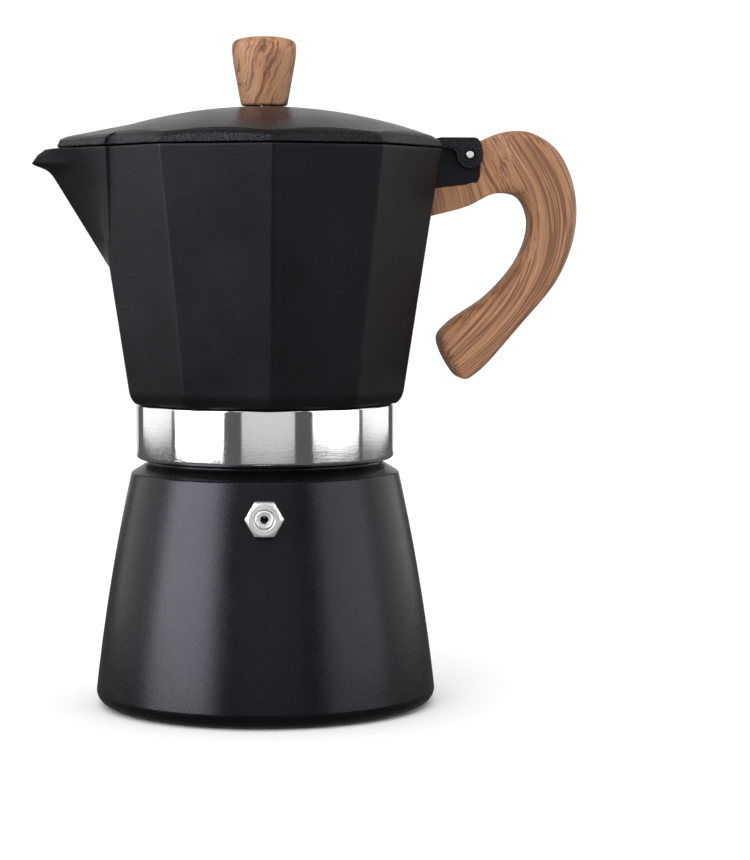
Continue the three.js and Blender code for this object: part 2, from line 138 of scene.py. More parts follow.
def skin(name, rings, closed=False, smooth_angle=35):
    """Quads between rings of points; a ring of one point is a pole. closed joins last to first."""
    points, starts = [], []
    for ring in rings:
        starts.append(len(points))
        points.extend(tuple(p) for p in ring)
    faces = []
    pairs = list(zip(range(len(rings)), range(1, len(rings))))
    if closed:
        pairs.append((len(rings) - 1, 0))
    for a, b in pairs:
        count = max(len(rings[a]), len(rings[b]))
        for i in range(count):
            j = (i + 1) % count
            if len(rings[a]) == 1:
                faces.append((starts[a], starts[b] + j, starts[b] + i))
            elif len(rings[b]) == 1:
                faces.append((starts[a] + i, starts[a] + j, starts[b]))
            else:
                faces.append((starts[a] + i, starts[a] + j, starts[b] + j, starts[b] + i))
    return add_mesh(name, points, faces, smooth_angle)


def softened(profile, radius, closed=False, steps=5):
    """The profile with each corner replaced by a short curve."""
    points = [np.array(p, float) for p in profile]
    count = len(points)
    out = []
    for i, p in enumerate(points):
        if not closed and i in (0, count - 1):
            out.append(p)
            continue
        before, after = points[i - 1], points[(i + 1) % count]
        a, b = before - p, after - p
        la, lb = np.linalg.norm(a), np.linalg.norm(b)
        straight = np.dot(a, b) / (la * lb) < -0.985
        reach = min(radius, 0.45 * la, 0.45 * lb)
        if straight:
            out.append(p)
            continue
        start, end = p + a / la * reach, p + b / lb * reach
        for k in range(steps + 1):
            t = k / steps
            out.append((1 - t) ** 2 * start + 2 * t * (1 - t) * p + t * t * end)
    return out


def turned(name, profile, segments=144, radius=0.3, closed=False, place=None, smooth_angle=35):
    """A turned piece about +Z from (radius, z) pairs, starting and ending on the axis unless closed."""
    angles = np.arange(segments) * TAU / segments
    rings = []
    for r, z in softened(profile, radius, closed):
        if r < TINY:
            rings.append(np.array([[0, 0, z]]))
        else:
            rings.append(np.stack([r * np.cos(angles), r * np.sin(angles), np.full(segments, z)], 1))
    if place is not None:
        rings = [np.array([tuple(place @ Vector(p)) for p in ring]) for ring in rings]
    return skin(name, rings, closed, smooth_angle)


def spline(points, per_span=10):
    """Centripetal Catmull-Rom curve through the points, as an array."""
    pts = [np.array(p, float) for p in points]
    pts = [2 * pts[0] - pts[1], *pts, 2 * pts[-1] - pts[-2]]
    out = []
    for p0, p1, p2, p3 in zip(pts, pts[1:], pts[2:], pts[3:]):
        t0 = 0
        t1 = t0 + np.linalg.norm(p1 - p0) ** 0.5
        t2 = t1 + np.linalg.norm(p2 - p1) ** 0.5
        t3 = t2 + np.linalg.norm(p3 - p2) ** 0.5
        for k in range(per_span):
            t = t1 + (t2 - t1) * k / per_span
            a1 = (t1 - t) / (t1 - t0) * p0 + (t - t0) / (t1 - t0) * p1
            a2 = (t2 - t) / (t2 - t1) * p1 + (t - t1) / (t2 - t1) * p2
            a3 = (t3 - t) / (t3 - t2) * p2 + (t - t2) / (t3 - t2) * p3
            b1 = (t2 - t) / (t2 - t0) * a1 + (t - t0) / (t2 - t0) * a2
            b2 = (t3 - t) / (t3 - t1) * a2 + (t - t1) / (t3 - t1) * a3
            out.append((t2 - t) / (t2 - t1) * b1 + (t - t1) / (t2 - t1) * b2)
    out.append(pts[-2])
    return np.array(out)


def prism(name, outline, low_y, high_y, bevel, segments=4, holes=()):
    """Side outline in X and Z given thickness along Y, with bevelled edges and round holes along Y."""
    count = len(outline)
    points = [(x, y, z) for y in (low_y, high_y) for x, z in outline]
    faces = [tuple(range(count)), tuple(range(count, 2 * count))]
    faces += [(i, (i + 1) % count, count + (i + 1) % count, count + i) for i in range(count)]
    obj = add_mesh(name, points, faces)
    for k, (x, z, r, y0, y1) in enumerate(holes):
        cutter = turned(
            f"{name}_cut{k}", [(0, y0), (r, y0), (r, y1), (0, y1)], 40, 0,
            place=Matrix.Translation((x, 0, z)) @ Matrix.Rotation(math.radians(-90), 4, "X"),
        )
        cut_out(obj, cutter)
    if bevel:
        edge = obj.modifiers.new("bevel", "BEVEL")
        edge.width = bevel * MM
        edge.segments = segments
        edge.limit_method = "ANGLE"
        edge.angle_limit = SHARP
        settle(obj)
    return obj


def settle(obj):
    """Applies the object's modifiers to its mesh."""
    graph = bpy.context.evaluated_depsgraph_get()
    mesh = bpy.data.meshes.new_from_object(obj.evaluated_get(graph))
    obj.modifiers.clear()
    old = obj.data
    obj.data = mesh
    bpy.data.meshes.remove(old)


def cut_out(obj, cutter):
    """Takes the cutter's volume out of obj and removes the cutter."""
    cut = obj.modifiers.new("cut", "BOOLEAN")
    cut.object = cutter
    cut.operation = "DIFFERENCE"
    cut.solver = "EXACT"
    settle(obj)
    bpy.data.objects.remove(cutter)


def join(obj, *others):
    """Adds the others' meshes to obj and removes them."""
    bm = bmesh.new()
    bm.from_mesh(obj.data)
    for other in others:
        bm.from_mesh(other.data)
    bm.to_mesh(obj.data)
    bm.free()
    for other in others:
        bpy.data.objects.remove(other)
    return obj


def weigh_normals(obj):
    mod = obj.modifiers.new("normals", "WEIGHTED_NORMAL")
    mod.keep_sharp = True
    mod.weight = 50


def helix(name, root_r, crest_r, z, turns, pitch=3):
    """Thread ridge with a softened trapezoid section."""
    per_turn = 96
    steps = round(turns * per_turn)
    flanks = [(root_r, -0.7), (crest_r, -0.35), (crest_r, 0.35), (root_r, 0.7)]
    section = softened(flanks, 0.2, False, 3)
    rings = []
    for i in range(steps + 1):
        angle = i * TAU / per_turn
        fade = min(1, 8 * i / steps, 8 * (steps - i) / steps)
        ring = []
        for r, dz in section:
            reach = root_r + (r - root_r) * fade
            height = z + pitch * i / per_turn + dz
            ring.append((reach * math.cos(angle), reach * math.sin(angle), height))
        rings.append(np.array(ring))
    obj = skin(name, rings)
    bm = bmesh.new()
    bm.from_mesh(obj.data)
    open_edges = [e for e in bm.edges if e.is_boundary]
    bmesh.ops.holes_fill(bm, edges=open_edges)
    bm.to_mesh(obj.data)
    bm.free()
    return obj


# ---------------------------------------------------------------- materials
class Nodes:
    """A material under construction."""

    def __init__(self, name):
        self.material = bpy.data.materials.new(name)
        self.material.use_nodes = True
        self.tree = self.material.node_tree
        self.shader = self.tree.nodes["Principled BSDF"]

    def new(self, kind, **inputs):
        node = self.tree.nodes.new(kind)
        for key, value in inputs.items():
            self.put(node, key.replace("_", " "), value)
        return node

    def put(self, node, key, value):
        if isinstance(value, bpy.types.NodeSocket):
            self.tree.links.new(value, node.inputs[key])
        else:
            node.inputs[key].default_value = value

    def position(self, scale=(1, 1, 1)):
        """Object coordinates, scaled."""
        source = self.tree.nodes.new("ShaderNodeTexCoord").outputs["Object"]
        mapping = self.new("ShaderNodeMapping", Vector=source, Scale=scale)
        return mapping.outputs["Vector"]

    def attribute(self, name, scale=(1, 1, 1)):
        source = self.tree.nodes.new("ShaderNodeAttribute")
        source.attribute_name = name
        mapping = self.new("ShaderNodeMapping", Vector=source.outputs["Vector"], Scale=scale)
        return mapping.outputs["Vector"]

    def noise(self, vector, scale, detail=4, roughness=0.6, distortion=0):
        node = self.new(
            "ShaderNodeTexNoise", Vector=vector, Scale=scale, Detail=detail, Roughness=roughness,
            Distortion=distortion,
        )
        return node.outputs["Fac"]

    def ramp(self, factor, stops):
        node = self.new("ShaderNodeValToRGB", Fac=factor)
        elements = node.color_ramp.elements
        while len(elements) < len(stops):
            elements.new(0.5)
        for element, (place, colour) in zip(elements, stops):
            element.position = place
            element.color = (*colour, 1) if len(colour) == 3 else colour
        return node.outputs["Color"]

    def spread(self, factor, low, high, start=0.3, end=0.7):
        """factor between start and end mapped onto low to high."""
        node = self.new("ShaderNodeMapRange")
        self.put(node, "Value", factor)
        self.put(node, "From Min", start)
        self.put(node, "From Max", end)
        self.put(node, "To Min", low)
        self.put(node, "To Max", high)
        return node.outputs["Result"]

    def mix(self, factor, a, b, mode="MIX"):
        node = self.tree.nodes.new("ShaderNodeMix")
        node.data_type = "RGBA"
        node.blend_type = mode
        sockets = [s for s in node.inputs if s.enabled]
        for socket, value in zip(sockets, (factor, a, b)):
            if isinstance(value, bpy.types.NodeSocket):
                self.tree.links.new(value, socket)
            else:
                opaque = isinstance(value, tuple) and len(value) == 3
                socket.default_value = (*value, 1) if opaque else value
        return [s for s in node.outputs if s.enabled][0]

    def math(self, operation, a, b=0.5):
        node = self.tree.nodes.new("ShaderNodeMath")
        node.operation = operation
        for socket, value in zip(node.inputs, (a, b)):
            if isinstance(value, bpy.types.NodeSocket):
                self.tree.links.new(value, socket)
            else:
                socket.default_value = value
        return node.outputs["Value"]

    def bump(self, height, strength, distance, below=None):
        node = self.new("ShaderNodeBump", Height=height, Strength=strength, Distance=distance)
        if below is not None:
            self.put(node, "Normal", below)
        return node.outputs["Normal"]

    def finish(self, **sockets):
        for key, value in sockets.items():
            self.put(self.shader, key.replace("_", " "), value)
        return self.material


def grey(value, tint=0.0):
    return (value, value, value * (1 + tint))


def coated(name, base, rough, grain_scale, grain_depth, gloss, tint=0.4, rim=False):
    """Black coated aluminium: faint mottling, uneven gloss, fine grain and a few worn specks."""
    n = Nodes(name)
    p = n.position()
    cloud = n.noise(p, 45, 5)
    fine = n.noise(p, grain_scale, 3, 0.7)
    colour = n.ramp(cloud, [(0.3, grey(base * 0.75, tint)), (0.7, grey(base * 1.25, tint))])
    speck = n.spread(n.noise(p, grain_scale * 0.45, 2), 0, 1, 0.72, 0.78)
    colour = n.mix(speck, colour, grey(base * 3, tint))
    roughness = n.math("ADD", n.spread(cloud, rough[0], rough[1]), n.spread(fine, -0.03, 0.03))
    normal = n.bump(fine, grain_depth, 0.0003, n.bump(cloud, 0.12, 0.0006))
    if rim:
        height = n.new("ShaderNodeSeparateXYZ", Vector=p).outputs["Z"]
        cast = n.math("MULTIPLY", n.spread(height, 1, 0, 0.1750, 0.1758), n.noise(p, 1100, 3, 0.7))
        normal = n.bump(cast, 0.9, 0.0006, normal)
    return n.finish(
        Base_Color=colour, Roughness=roughness, Metallic=0.0, Normal=normal, IOR=1.5,
        Specular_IOR_Level=gloss, Specular_Tint=(0.85, 0.87, 1, 1),
    )


def bare_metal(name, colour, rough, lines=(1, 1, 60), line_depth=0.08, metal=1.0):
    """Bare metal with fine turning or brushing lines and faint smudges."""
    n = Nodes(name)
    p = n.position()
    line = n.noise(n.position(lines), 180, 3, 0.7)
    smudge = n.noise(p, 60, 4)
    low = tuple(c * 0.9 for c in colour)
    shade = n.ramp(smudge, [(0.3, low), (0.7, colour)])
    roughness = n.math("ADD", n.spread(smudge, rough[0], rough[1]), n.spread(line, -0.02, 0.02))
    normal = n.bump(line, line_depth, 0.0001)
    return n.finish(Base_Color=shade, Roughness=roughness, Metallic=metal, Normal=normal)


WOOD_TONES = [(0.25, 0.118, 0.056), (0.30, 0.145, 0.070), (0.35, 0.172, 0.086)]


def wood(name, along, across, shade=1.0):
    """Wood look with growth lines along the grain attribute: x runs along the grain, y and z across it."""
    n = Nodes(name)
    sway = n.noise(n.attribute("grain", (along * 1.5, across * 0.1, across * 0.1)), 1, 3)
    shift = n.new("ShaderNodeVectorMath")
    shift.operation = "MULTIPLY_ADD"
    n.tree.links.new(sway, shift.inputs[0])
    shift.inputs[1].default_value = (0.4, 7, 2)
    n.tree.links.new(n.attribute("grain", (along, across, across * 0.5)), shift.inputs[2])
    place = shift.outputs["Vector"]
    broad = n.noise(n.attribute("grain", (along, across * 0.2, across * 0.2)), 1, 4, 0.55)
    line = n.noise(place, 1, 3, 0.55)
    fine = n.noise(place, 2.6, 4, 0.65)
    pores = n.noise(n.attribute("grain", (along * 8, across * 2.5, across * 2.5)), 1.2, 3, 0.7)
    tones = [tuple(shade * c for c in tone) for tone in WOOD_TONES]
    colour = n.ramp(broad, [(0.3, tones[0]), (0.5, tones[1]), (0.7, tones[2])])
    colour = n.mix(n.spread(line, 0, 0.85, 0.53, 0.58), colour, (0.12, 0.048, 0.024))
    colour = n.mix(n.spread(line, 0.4, 0, 0.38, 0.43), colour, (0.45, 0.25, 0.135))
    colour = n.mix(n.spread(fine, 0, 0.6, 0.54, 0.6), colour, (0.13, 0.054, 0.028))
    colour = n.mix(n.spread(fine, 0.3, 0, 0.36, 0.42), colour, (0.45, 0.25, 0.135))
    colour = n.mix(n.spread(pores, 0, 0.35, 0.6, 0.72), colour, (0.15, 0.07, 0.038))
    roughness = n.math("ADD", n.spread(broad, 0.45, 0.58), n.spread(pores, 0, 0.08))
    normal = n.bump(pores, 0.12, 0.0002, n.bump(line, 0.15, 0.0003))
    return n.finish(Base_Color=colour, Roughness=roughness, Normal=normal, Specular_IOR_Level=0.3)


def rubbery(name, colour, grain=900):
    n = Nodes(name)
    p = n.position()
    cloud = n.noise(p, 90, 4)
    fine = n.noise(p, grain, 3, 0.7)
    low = tuple(c * 0.8 for c in colour)
    shade = n.ramp(cloud, [(0.3, low), (0.7, colour)])
    return n.finish(
        Base_Color=shade, Roughness=n.spread(fine, 0.6, 0.8), Normal=n.bump(fine, 0.3, 0.0002),
    )


def paint(obj, material):
    obj.data.materials.clear()
    obj.data.materials.append(material)


BOILER_BLACK = coated("boiler_black", 0.0025, (0.24, 0.30), 1700, 0.12, 0.27)
COLLECTOR_BLACK = coated("collector_black", 0.003, (0.36, 0.46), 1300, 0.25, 0.24)
LID_BLACK = coated("lid_black", 0.003, (0.26, 0.34), 1100, 0.14, 0.28, rim=True)
POLISHED = bare_metal("collar_polished", (0.86, 0.86, 0.87), (0.05, 0.10), (1, 1, 40), 0.03)
BRIGHT = bare_metal("valve_steel", (0.80, 0.80, 0.81), (0.30, 0.42), (20, 1, 20), 0.1, metal=0.8)
PIN_STEEL = bare_metal("pin_steel", (0.85, 0.85, 0.86), (0.28, 0.38), (20, 1, 20), 0.1, metal=0.8)
SCREW_STEEL = bare_metal("screw_steel", (0.62, 0.62, 0.63), (0.25, 0.36), (1, 1, 40), 0.12)
ALUMINIUM = bare_metal("inner_aluminium", (0.66, 0.67, 0.68), (0.3, 0.42), (1, 1, 30), 0.15)
BRASS = bare_metal("insert_brass", (0.72, 0.52, 0.24), (0.25, 0.35), (1, 1, 40), 0.12)
GASKET = rubbery("gasket_rubber", (0.72, 0.70, 0.64))
FIBRE = rubbery("valve_fibre", (0.35, 0.12, 0.08))
HANDLE_WOOD = wood("handle_wood", 9, 1150)
KNOB_WOOD = wood("knob_wood", 45, 800, 1.25)


# ---------------------------------------------------------------- boiler
FOOT_R, FOOT_Z = (BOILER_HIGH[0] - BOILER_LOW[0]) / 2, 4.4
SHOULDER_R, SHOULDER_Z = 41.4, 72.1
SIDE_BOW = 0.95


def boiler_side_r(z):
    """A straight taper with a slight outward bow."""
    t = (z - FOOT_Z) / (SHOULDER_Z - FOOT_Z)
    return FOOT_R + (SHOULDER_R - FOOT_R) * t + SIDE_BOW * 4 * t * (1 - t)


def make_boiler():
    heights = np.linspace(FOOT_Z, SHOULDER_Z, 28)
    side = [(boiler_side_r(z), z) for z in heights]
    inner = [(r - 2.6, z) for r, z in side[::-1] if 10 < z < 69]
    profile = [
        (0, 0), (46.5, 0), (48.4, 0.25), (50, 0.8), (51.3, 1.7), (52.2, 2.9), *side,
        (36.6, 75), (36.4, 76.1), (33.6, 76.1), (33.6, 88.5), (31.2, 88.5), (31.2, 76), (36.5, 72.6),
        *inner, (48.8, 6.5), (46.3, 3.5), (0, 3.5),
    ]
    body = turned("boiler_body", profile, 192, 0.5)
    ridge = helix("boiler_thread", 33, 34.6, 79, 1.75)
    join(body, ridge)
    weigh_normals(body)
    paint(body, BOILER_BLACK)
    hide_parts("boiler")
    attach(body, "lower_chamber")


# ---------------------------------------------------------------- valve
def along_valve():
    """Takes a piece turned about +Z, with z as distance from the pot's axis, onto the valve's axis."""
    return (
        Matrix.Rotation(VALVE_TURN, 4, "Z") @ Matrix.Translation((0, 0, VALVE_Z))
        @ Matrix.Rotation(math.radians(90), 4, "X")
    )


def make_valve():
    place = along_valve()
    count = 144
    angles = np.arange(count) * TAU / count
    flats = VALVE_HALF_FLATS / np.cos((angles + TAU / 12) % (TAU / 6) - TAU / 12)
    stations = [
        (4.9, 46.1), (5.3, 46.1), (5.9, 46.5), (6.2, 46.8), (6.2, 49.3), (5.6, 49.75), (5.1, 50.05),
        (4.75, 50.25), (4.55, 50.4), (3.2, 50.4), (3.0, 50.3), (2.95, 50.1), (2.95, 49.0), (2.3, 49.0),
        (2.3, 40.5), (1.2, 40.5), (1.2, 38), (3.1, 38), (3.4, 38.4), (3.4, 46.1),
    ]
    rings = []
    for r, d in stations:
        reach = np.minimum(flats, r)
        ring = np.stack([reach * np.sin(angles), reach * np.cos(angles), np.full(count, d)], 1)
        rings.append(np.array([tuple(place @ Vector(p)) for p in ring]))
    hexagon = skin("valve_hexagon", rings, True, 25)
    paint(hexagon, BRIGHT)
    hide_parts("valve_body")
    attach(hexagon, "lower_chamber")

    cap_profile = [(1.25, 49.2), (2.8, 49.2), (2.8, 50.25), (2.35, 50.5), (2.05, 50.1), (1.25, 50.1)]
    cap = turned("valve_ring", cap_profile, 64, 0.12, True, place)
    paint(cap, BRIGHT)
    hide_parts("valve_cap")
    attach(cap, "lower_chamber")

    washer_profile = [(3.8, 45.1), (4.8, 45.1), (4.8, 45.8), (3.8, 45.8)]
    washer = turned("valve_seal", washer_profile, 64, 0.15, True, place)
    paint(washer, FIBRE)
    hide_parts("valve_washer")
    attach(washer, "lower_chamber")

    half_turn = np.linspace(0, math.pi, 25)
    ball_profile = [(BALL_R * math.sin(a), BALL_AT - BALL_R * math.cos(a)) for a in half_turn]
    ball_profile[0], ball_profile[-1] = (0, BALL_AT - BALL_R), (0, BALL_AT + BALL_R)
    ball = turned("valve_sphere", ball_profile, 48, 0, False, place)
    paint(ball, BRIGHT)
    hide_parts("valve_ball")
    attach(ball, "relief_ball")

    rings = []
    turns, steps = 4.5, 216
    up = Vector((0, 0, 1))
    for i in range(steps + 1):
        t = i / steps
        out = Vector((math.cos(t * turns * TAU), math.sin(t * turns * TAU), 0))
        middle = SPRING_R * out + (SPRING_START + (SPRING_END - SPRING_START) * t) * up
        section = [math.cos(b) * out + math.sin(b) * up for b in np.arange(10) * TAU / 10]
        rings.append([tuple(place @ (middle + SPRING_WIRE_R * p)) for p in section])
    rings = [[tuple(np.mean(rings[0], 0))], *rings, [tuple(np.mean(rings[-1], 0))]]
    coil = skin("valve_coil", rings)
    paint(coil, BRIGHT)
    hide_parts("valve_spring")
    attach(coil, "lower_chamber")
    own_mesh(coil)


# ---------------------------------------------------------------- funnel, gasket and plates
def make_inside():
    basket = turned("coffee_basket", [
        (3, 8), (3.9, 8), (3.9, 58), (5.5, 60.5), (30.4, 65), (30.6, 66), (30.6, 88.8), (33.2, 88.8),
        (33.2, 89.4), (29.9, 89.4), (29.9, 66.2), (5.2, 61.4), (3, 58.6),
    ], 144, 0.35, True)
    paint(basket, ALUMINIUM)
    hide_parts("funnel")
    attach(basket, "coffee_funnel")

    seal = turned("seal_ring", [
        (26.5, 89.7), (33.5, 89.7), (33.5, 92.3), (31, 92.3), (30.6, 91.8), (26.5, 91.8),
    ], 144, 0.4, True)
    paint(seal, GASKET)
    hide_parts("gasket")
    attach(seal, "seal")

    for node in ("funnel_plate", "filter_plate"):
        paint(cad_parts[node], ALUMINIUM)

    column = turned("column_tube", [
        (3, 95.1), (4.5, 95.1), (4.5, 97.5), (7.5, 97.5), (7, 100), (6.2, 108), (5.4, 125), (4.9, 151),
        (4.2, 153.6), (2.4, 155), (0, 155.4), (0, 152.6), (2.2, 152), (3, 150.6),
    ], 96, 0.5, True)
    slot = prism("column_slot", [(-1.3, 144.5), (1.3, 144.5), (1.3, 150), (-1.3, 150)], -15, 15, 0)
    cut_out(column, slot)
    paint(column, ALUMINIUM)
    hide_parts("riser_column")
    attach(column, "upper_chamber")


def make_collar():
    r = (COLLAR_HIGH[0] - COLLAR_LOW[0]) / 2
    low, high = COLLAR_LOW[2], COLLAR_HIGH[2]
    band = turned("collar_band", [
        (34.9, low + 0.6), (35.5, low), (r - 0.8, low), (r, low + 0.8),
        (r, high - 0.55), (r - 0.55, high), (34.9, high),
    ], 192, 0.35, True)
    ridge = helix("collar_thread", 35.5, 34, 80.5, 1.25)
    join(band, ridge)
    weigh_normals(band)
    paint(band, POLISHED)
    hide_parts("threaded_collar")
    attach(band, "upper_chamber")


# ---------------------------------------------------------------- collector
def plan_angles():
    """Directions round the pot: close together at the corners and round the spout."""
    near = [0, 0.3, 0.6, 0.9, 1.2, 1.6]
    values = set()
    for k in range(SIDES):
        corner = 18 + 36 * k
        for d in near:
            values.add(round((corner + d) % 360, 3))
            values.add(round((corner - d) % 360, 3))
        for d in range(3, 34, 3):
            values.add(round((corner + d) % 360, 3))
    for d in np.arange(0, 40, 0.8):
        values.add(round(180 + d, 3))
        values.add(round(180 - d, 3))
    for d in np.arange(0, 4, 0.2):
        values.add(round(180 + d, 3))
        values.add(round(180 - d, 3))
    ordered = sorted(values)
    kept = [ordered[0]]
    for v in ordered[1:]:
        if v - kept[-1] > 0.12:
            kept.append(v)
    return np.radians(kept)


ANGLES = plan_angles()


def turned_to(root):
    """ANGLES with the two corners beside the spout moved to the angle root, from the front of the V."""
    away = np.abs(ANGLES - math.pi)
    corner, further = math.pi / SIDES, 3 * math.pi / SIDES
    moved = np.where(
        away <= corner, away * root / corner,
        np.where(away < further, root + (away - corner) * (further - root) / (further - corner), away),
    )
    return math.pi + np.sign(ANGLES - math.pi) * moved


def decagon(corner_r, edge_r, angles):
    """Distance to a ten-sided outline with rounded corners, in each direction."""
    half = math.pi / SIDES
    offset = (angles + half) % (2 * half) - half
    flat = corner_r * math.cos(half) / np.cos(offset)
    centre = corner_r - edge_r / math.cos(half)
    theta = half - np.abs(offset)
    tangent = math.atan2(edge_r * math.sin(half), centre + edge_r * math.cos(half))
    inside = np.maximum(edge_r**2 - (centre * np.sin(theta)) ** 2, 0)
    arc = centre * np.cos(theta) + np.sqrt(inside)
    return np.where(theta < tangent, arc, flat)


def wedge(tip_x, root_x, root_y, blunt, angles):
    """Distance to a V outline that points to -X, in each direction, with a blunted corner."""
    c = np.cos(angles)
    s = np.abs(np.sin(angles))
    lean = (root_x - tip_x) / root_y
    soft = np.sqrt(s * s + blunt * blunt)
    reach = tip_x * (1 + blunt * lean) / np.minimum(c - soft * lean, -TINY)
    return np.where((c < 0) & (s * reach <= root_y * 1.001), reach, 0)


def smooth_max(a, b, width):
    h = np.clip(0.5 + 0.5 * (a - b) / width, 0, 1)
    return b + (a - b) * h + width * h * (1 - h)


def wall_r(z):
    lean = (CHAMBER_HIGH_R - CHAMBER_LOW_R) / (CHAMBER_TOP - CHAMBER_FACET_Z)
    return CHAMBER_LOW_R + lean * (z - CHAMBER_FACET_Z)


def on_facet(corner_r, y):
    """X of the facet beside the spout's facet, at y from the middle plane."""
    half = math.pi / SIDES
    x0, y0 = corner_r * math.cos(half), corner_r * math.sin(half)
    x1, y1 = corner_r * math.cos(3 * half), corner_r * math.sin(3 * half)
    return -(x0 + (x1 - x0) * (y - y0) / (y1 - y0))


def chamber_outline(z, inset):
    """Directions and plan distances of the wall at height z, inset towards the inside, spout included."""
    corner_r = wall_r(z) - inset * 1.05
    drop = max(0, CHAMBER_FACET_Z - z) / CHAMBER_ROUND_HEIGHT
    round_r = 2.2 + 5 * drop if inset == 0 else 5
    base_r = corner_r - CHAMBER_ROUND_IN * (1 - math.sqrt(max(0, 1 - drop * drop)))
    if z <= SPOUT_LOW:
        return ANGLES, decagon(base_r, round_r, ANGLES)
    rise = (z - SPOUT_LOW) / (CHAMBER_TOP - SPOUT_LOW)
    tip = SPOUT_LOW_X - SPOUT_LEAN * (z - SPOUT_LOW) + inset * 1.25
    corner_y = corner_r * math.sin(math.pi / SIDES)
    root_y = corner_y + (SPOUT_HIGH_HALF - inset * 0.4 - corner_y) * rise
    root_x = on_facet(corner_r, root_y)
    angles = turned_to(math.atan2(root_y, -root_x))
    spout = wedge(tip, root_x, root_y, 0.02 * min(1, 6 * rise), angles)
    out = float(np.interp(z, CURL_Z, CURL_OUT))
    side = spout * np.sin(angles)
    spout = spout + out * np.exp(-((side / 6) ** 2)) * (spout > 0)
    return angles, np.maximum(decagon(corner_r, round_r * (1 - rise) + rise, angles), spout)


def lip_height(x):
    return np.interp(x, LIP_X, LIP_Z)


LIP_START, SCAN_STEP = 158, 0.1


def wall_rings(levels, inset):
    """Rings of the chamber's wall, squeezed at the top so that they end on the lip."""
    scan = np.arange(LIP_START, CHAMBER_TOP + 0.001, SCAN_STEP)
    turns, reaches = (np.array(v) for v in zip(*(chamber_outline(z, inset) for z in scan)))
    over = scan[:, None] > lip_height(reaches * np.cos(turns)) - TINY
    first = np.where(over.any(0), over.argmax(0), len(scan) - 1)
    top = scan[first]
    column = np.arange(len(ANGLES))
    rings = []
    for z in levels:
        if z <= LIP_START:
            angles, reach = chamber_outline(z, inset)
            rings.append((angles, reach, np.full(len(ANGLES), float(z))))
            continue
        heights = LIP_START + (z - LIP_START) * (top - LIP_START) / (CHAMBER_TOP - LIP_START)
        spot = np.clip((heights - LIP_START) / SCAN_STEP, 0, len(scan) - 1.001)
        k = spot.astype(int)
        part = spot - k
        reach = reaches[k, column] * (1 - part) + reaches[k + 1, column] * part
        angles = turns[k, column] * (1 - part) + turns[k + 1, column] * part
        rings.append((angles, reach, heights))
    return rings


def ring_points(angles, reach, heights):
    return np.stack([reach * np.cos(angles), reach * np.sin(angles), heights + 0 * reach], 1)


def circle_ring(r, z):
    return ring_points(ANGLES, np.full(len(ANGLES), float(r)), np.full(len(ANGLES), float(z)))


def make_collector():
    levels = [
        CHAMBER_BOTTOM, 94.0, 94.3, 94.7, 95.2, 95.8, 96.5, 97.2, 97.8, 104, 112, 120, 128,
        134, 135, 136, 138, 140, 143, 146, 150, 154, LIP_START, *np.arange(159, 171, 0.5), 171,
    ]
    rings = [ring_points(*ring) for ring in wall_rings(levels, 0)]
    turns, reach, heights = wall_rings([CHAMBER_TOP], 0)[0]
    rings.append(ring_points(turns, reach - 0.12, heights - 0.12))
    rings.append(ring_points(turns, reach - 0.4, heights))
    inner_levels = [
        *np.arange(171, 158.5, -0.5), LIP_START, 154, 150, 146, 143, 140, 138, 136, 134, 124, 112, 102,
    ]
    turns, reach, heights = wall_rings([CHAMBER_TOP], CHAMBER_WALL)[0]
    rings.append(ring_points(turns, reach + 0.4, heights))
    rings.append(ring_points(turns, reach + 0.12, heights - 0.12))
    rings += [ring_points(*ring) for ring in wall_rings(inner_levels, CHAMBER_WALL)]
    foot = chamber_outline(100, CHAMBER_WALL)[1]
    for t in np.linspace(0, 1, 7):
        turn = t * math.pi / 2
        rings.append(ring_points(ANGLES, foot - 2.8 * (1 - math.cos(turn)), 100 - 2.8 * math.sin(turn)))
    for r, z in [
        (30, CHAMBER_FLOOR), (15, CHAMBER_FLOOR), (4.7, CHAMBER_FLOOR), (4.7, 94.8), (21, 94.8), (25, 93.6),
        (25, 93.2), (34.6, 93.2), (34.6, CHAMBER_BOTTOM), (38, CHAMBER_BOTTOM),
    ]:
        rings.append(circle_ring(r, z))
    shell = skin("collector_shell", rings, True, 30)

    arc = [
        (PIN_X + 8.6 * math.cos(math.radians(a)), PIN_Z + 8.6 * math.sin(math.radians(a)))
        for a in np.linspace(142, 172, 8)
    ]
    outline = [
        (49, 159.5), (52.5, 159.8), (63.2, 161.0), (64.5, 161.4), (65.4, 162.1), (65.8, 163.2),
        (66, 173.9), (65.7, 174.7), (65, 175.1), *arc, (54.2, CHAMBER_TOP - 0.2), (52, CHAMBER_TOP - 0.3),
        (50.2, 168),
    ]
    lug = prism("collector_lug", outline, -LUG_HALF, LUG_HALF, 0.5, 3)
    join(shell, lug)
    weigh_normals(shell)
    paint(shell, COLLECTOR_BLACK)
    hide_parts("collector")
    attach(shell, "upper_chamber")


# ---------------------------------------------------------------- lid
LID_TURNS = turned_to(math.atan2(BEAK_ROOT_Y, -on_facet(LID_R, BEAK_ROOT_Y)))


def lid_outline(inset):
    """The ten-sided rim and a V beak, cut off flat at its tip."""
    corner_r = LID_R - inset * 1.05
    root_y = BEAK_ROOT_Y - inset * 0.5
    beak = wedge(BEAK_POINT_X + 1.3 * inset, on_facet(corner_r, root_y), root_y, 0.03, LID_TURNS)
    cut = (BEAK_TIP_X + inset) / np.minimum(np.cos(LID_TURNS), -0.1)
    beak = np.where(beak > 0, -smooth_max(-beak, -cut, 0.5), 0)
    return np.maximum(decagon(corner_r, 1.6, LID_TURNS), beak)


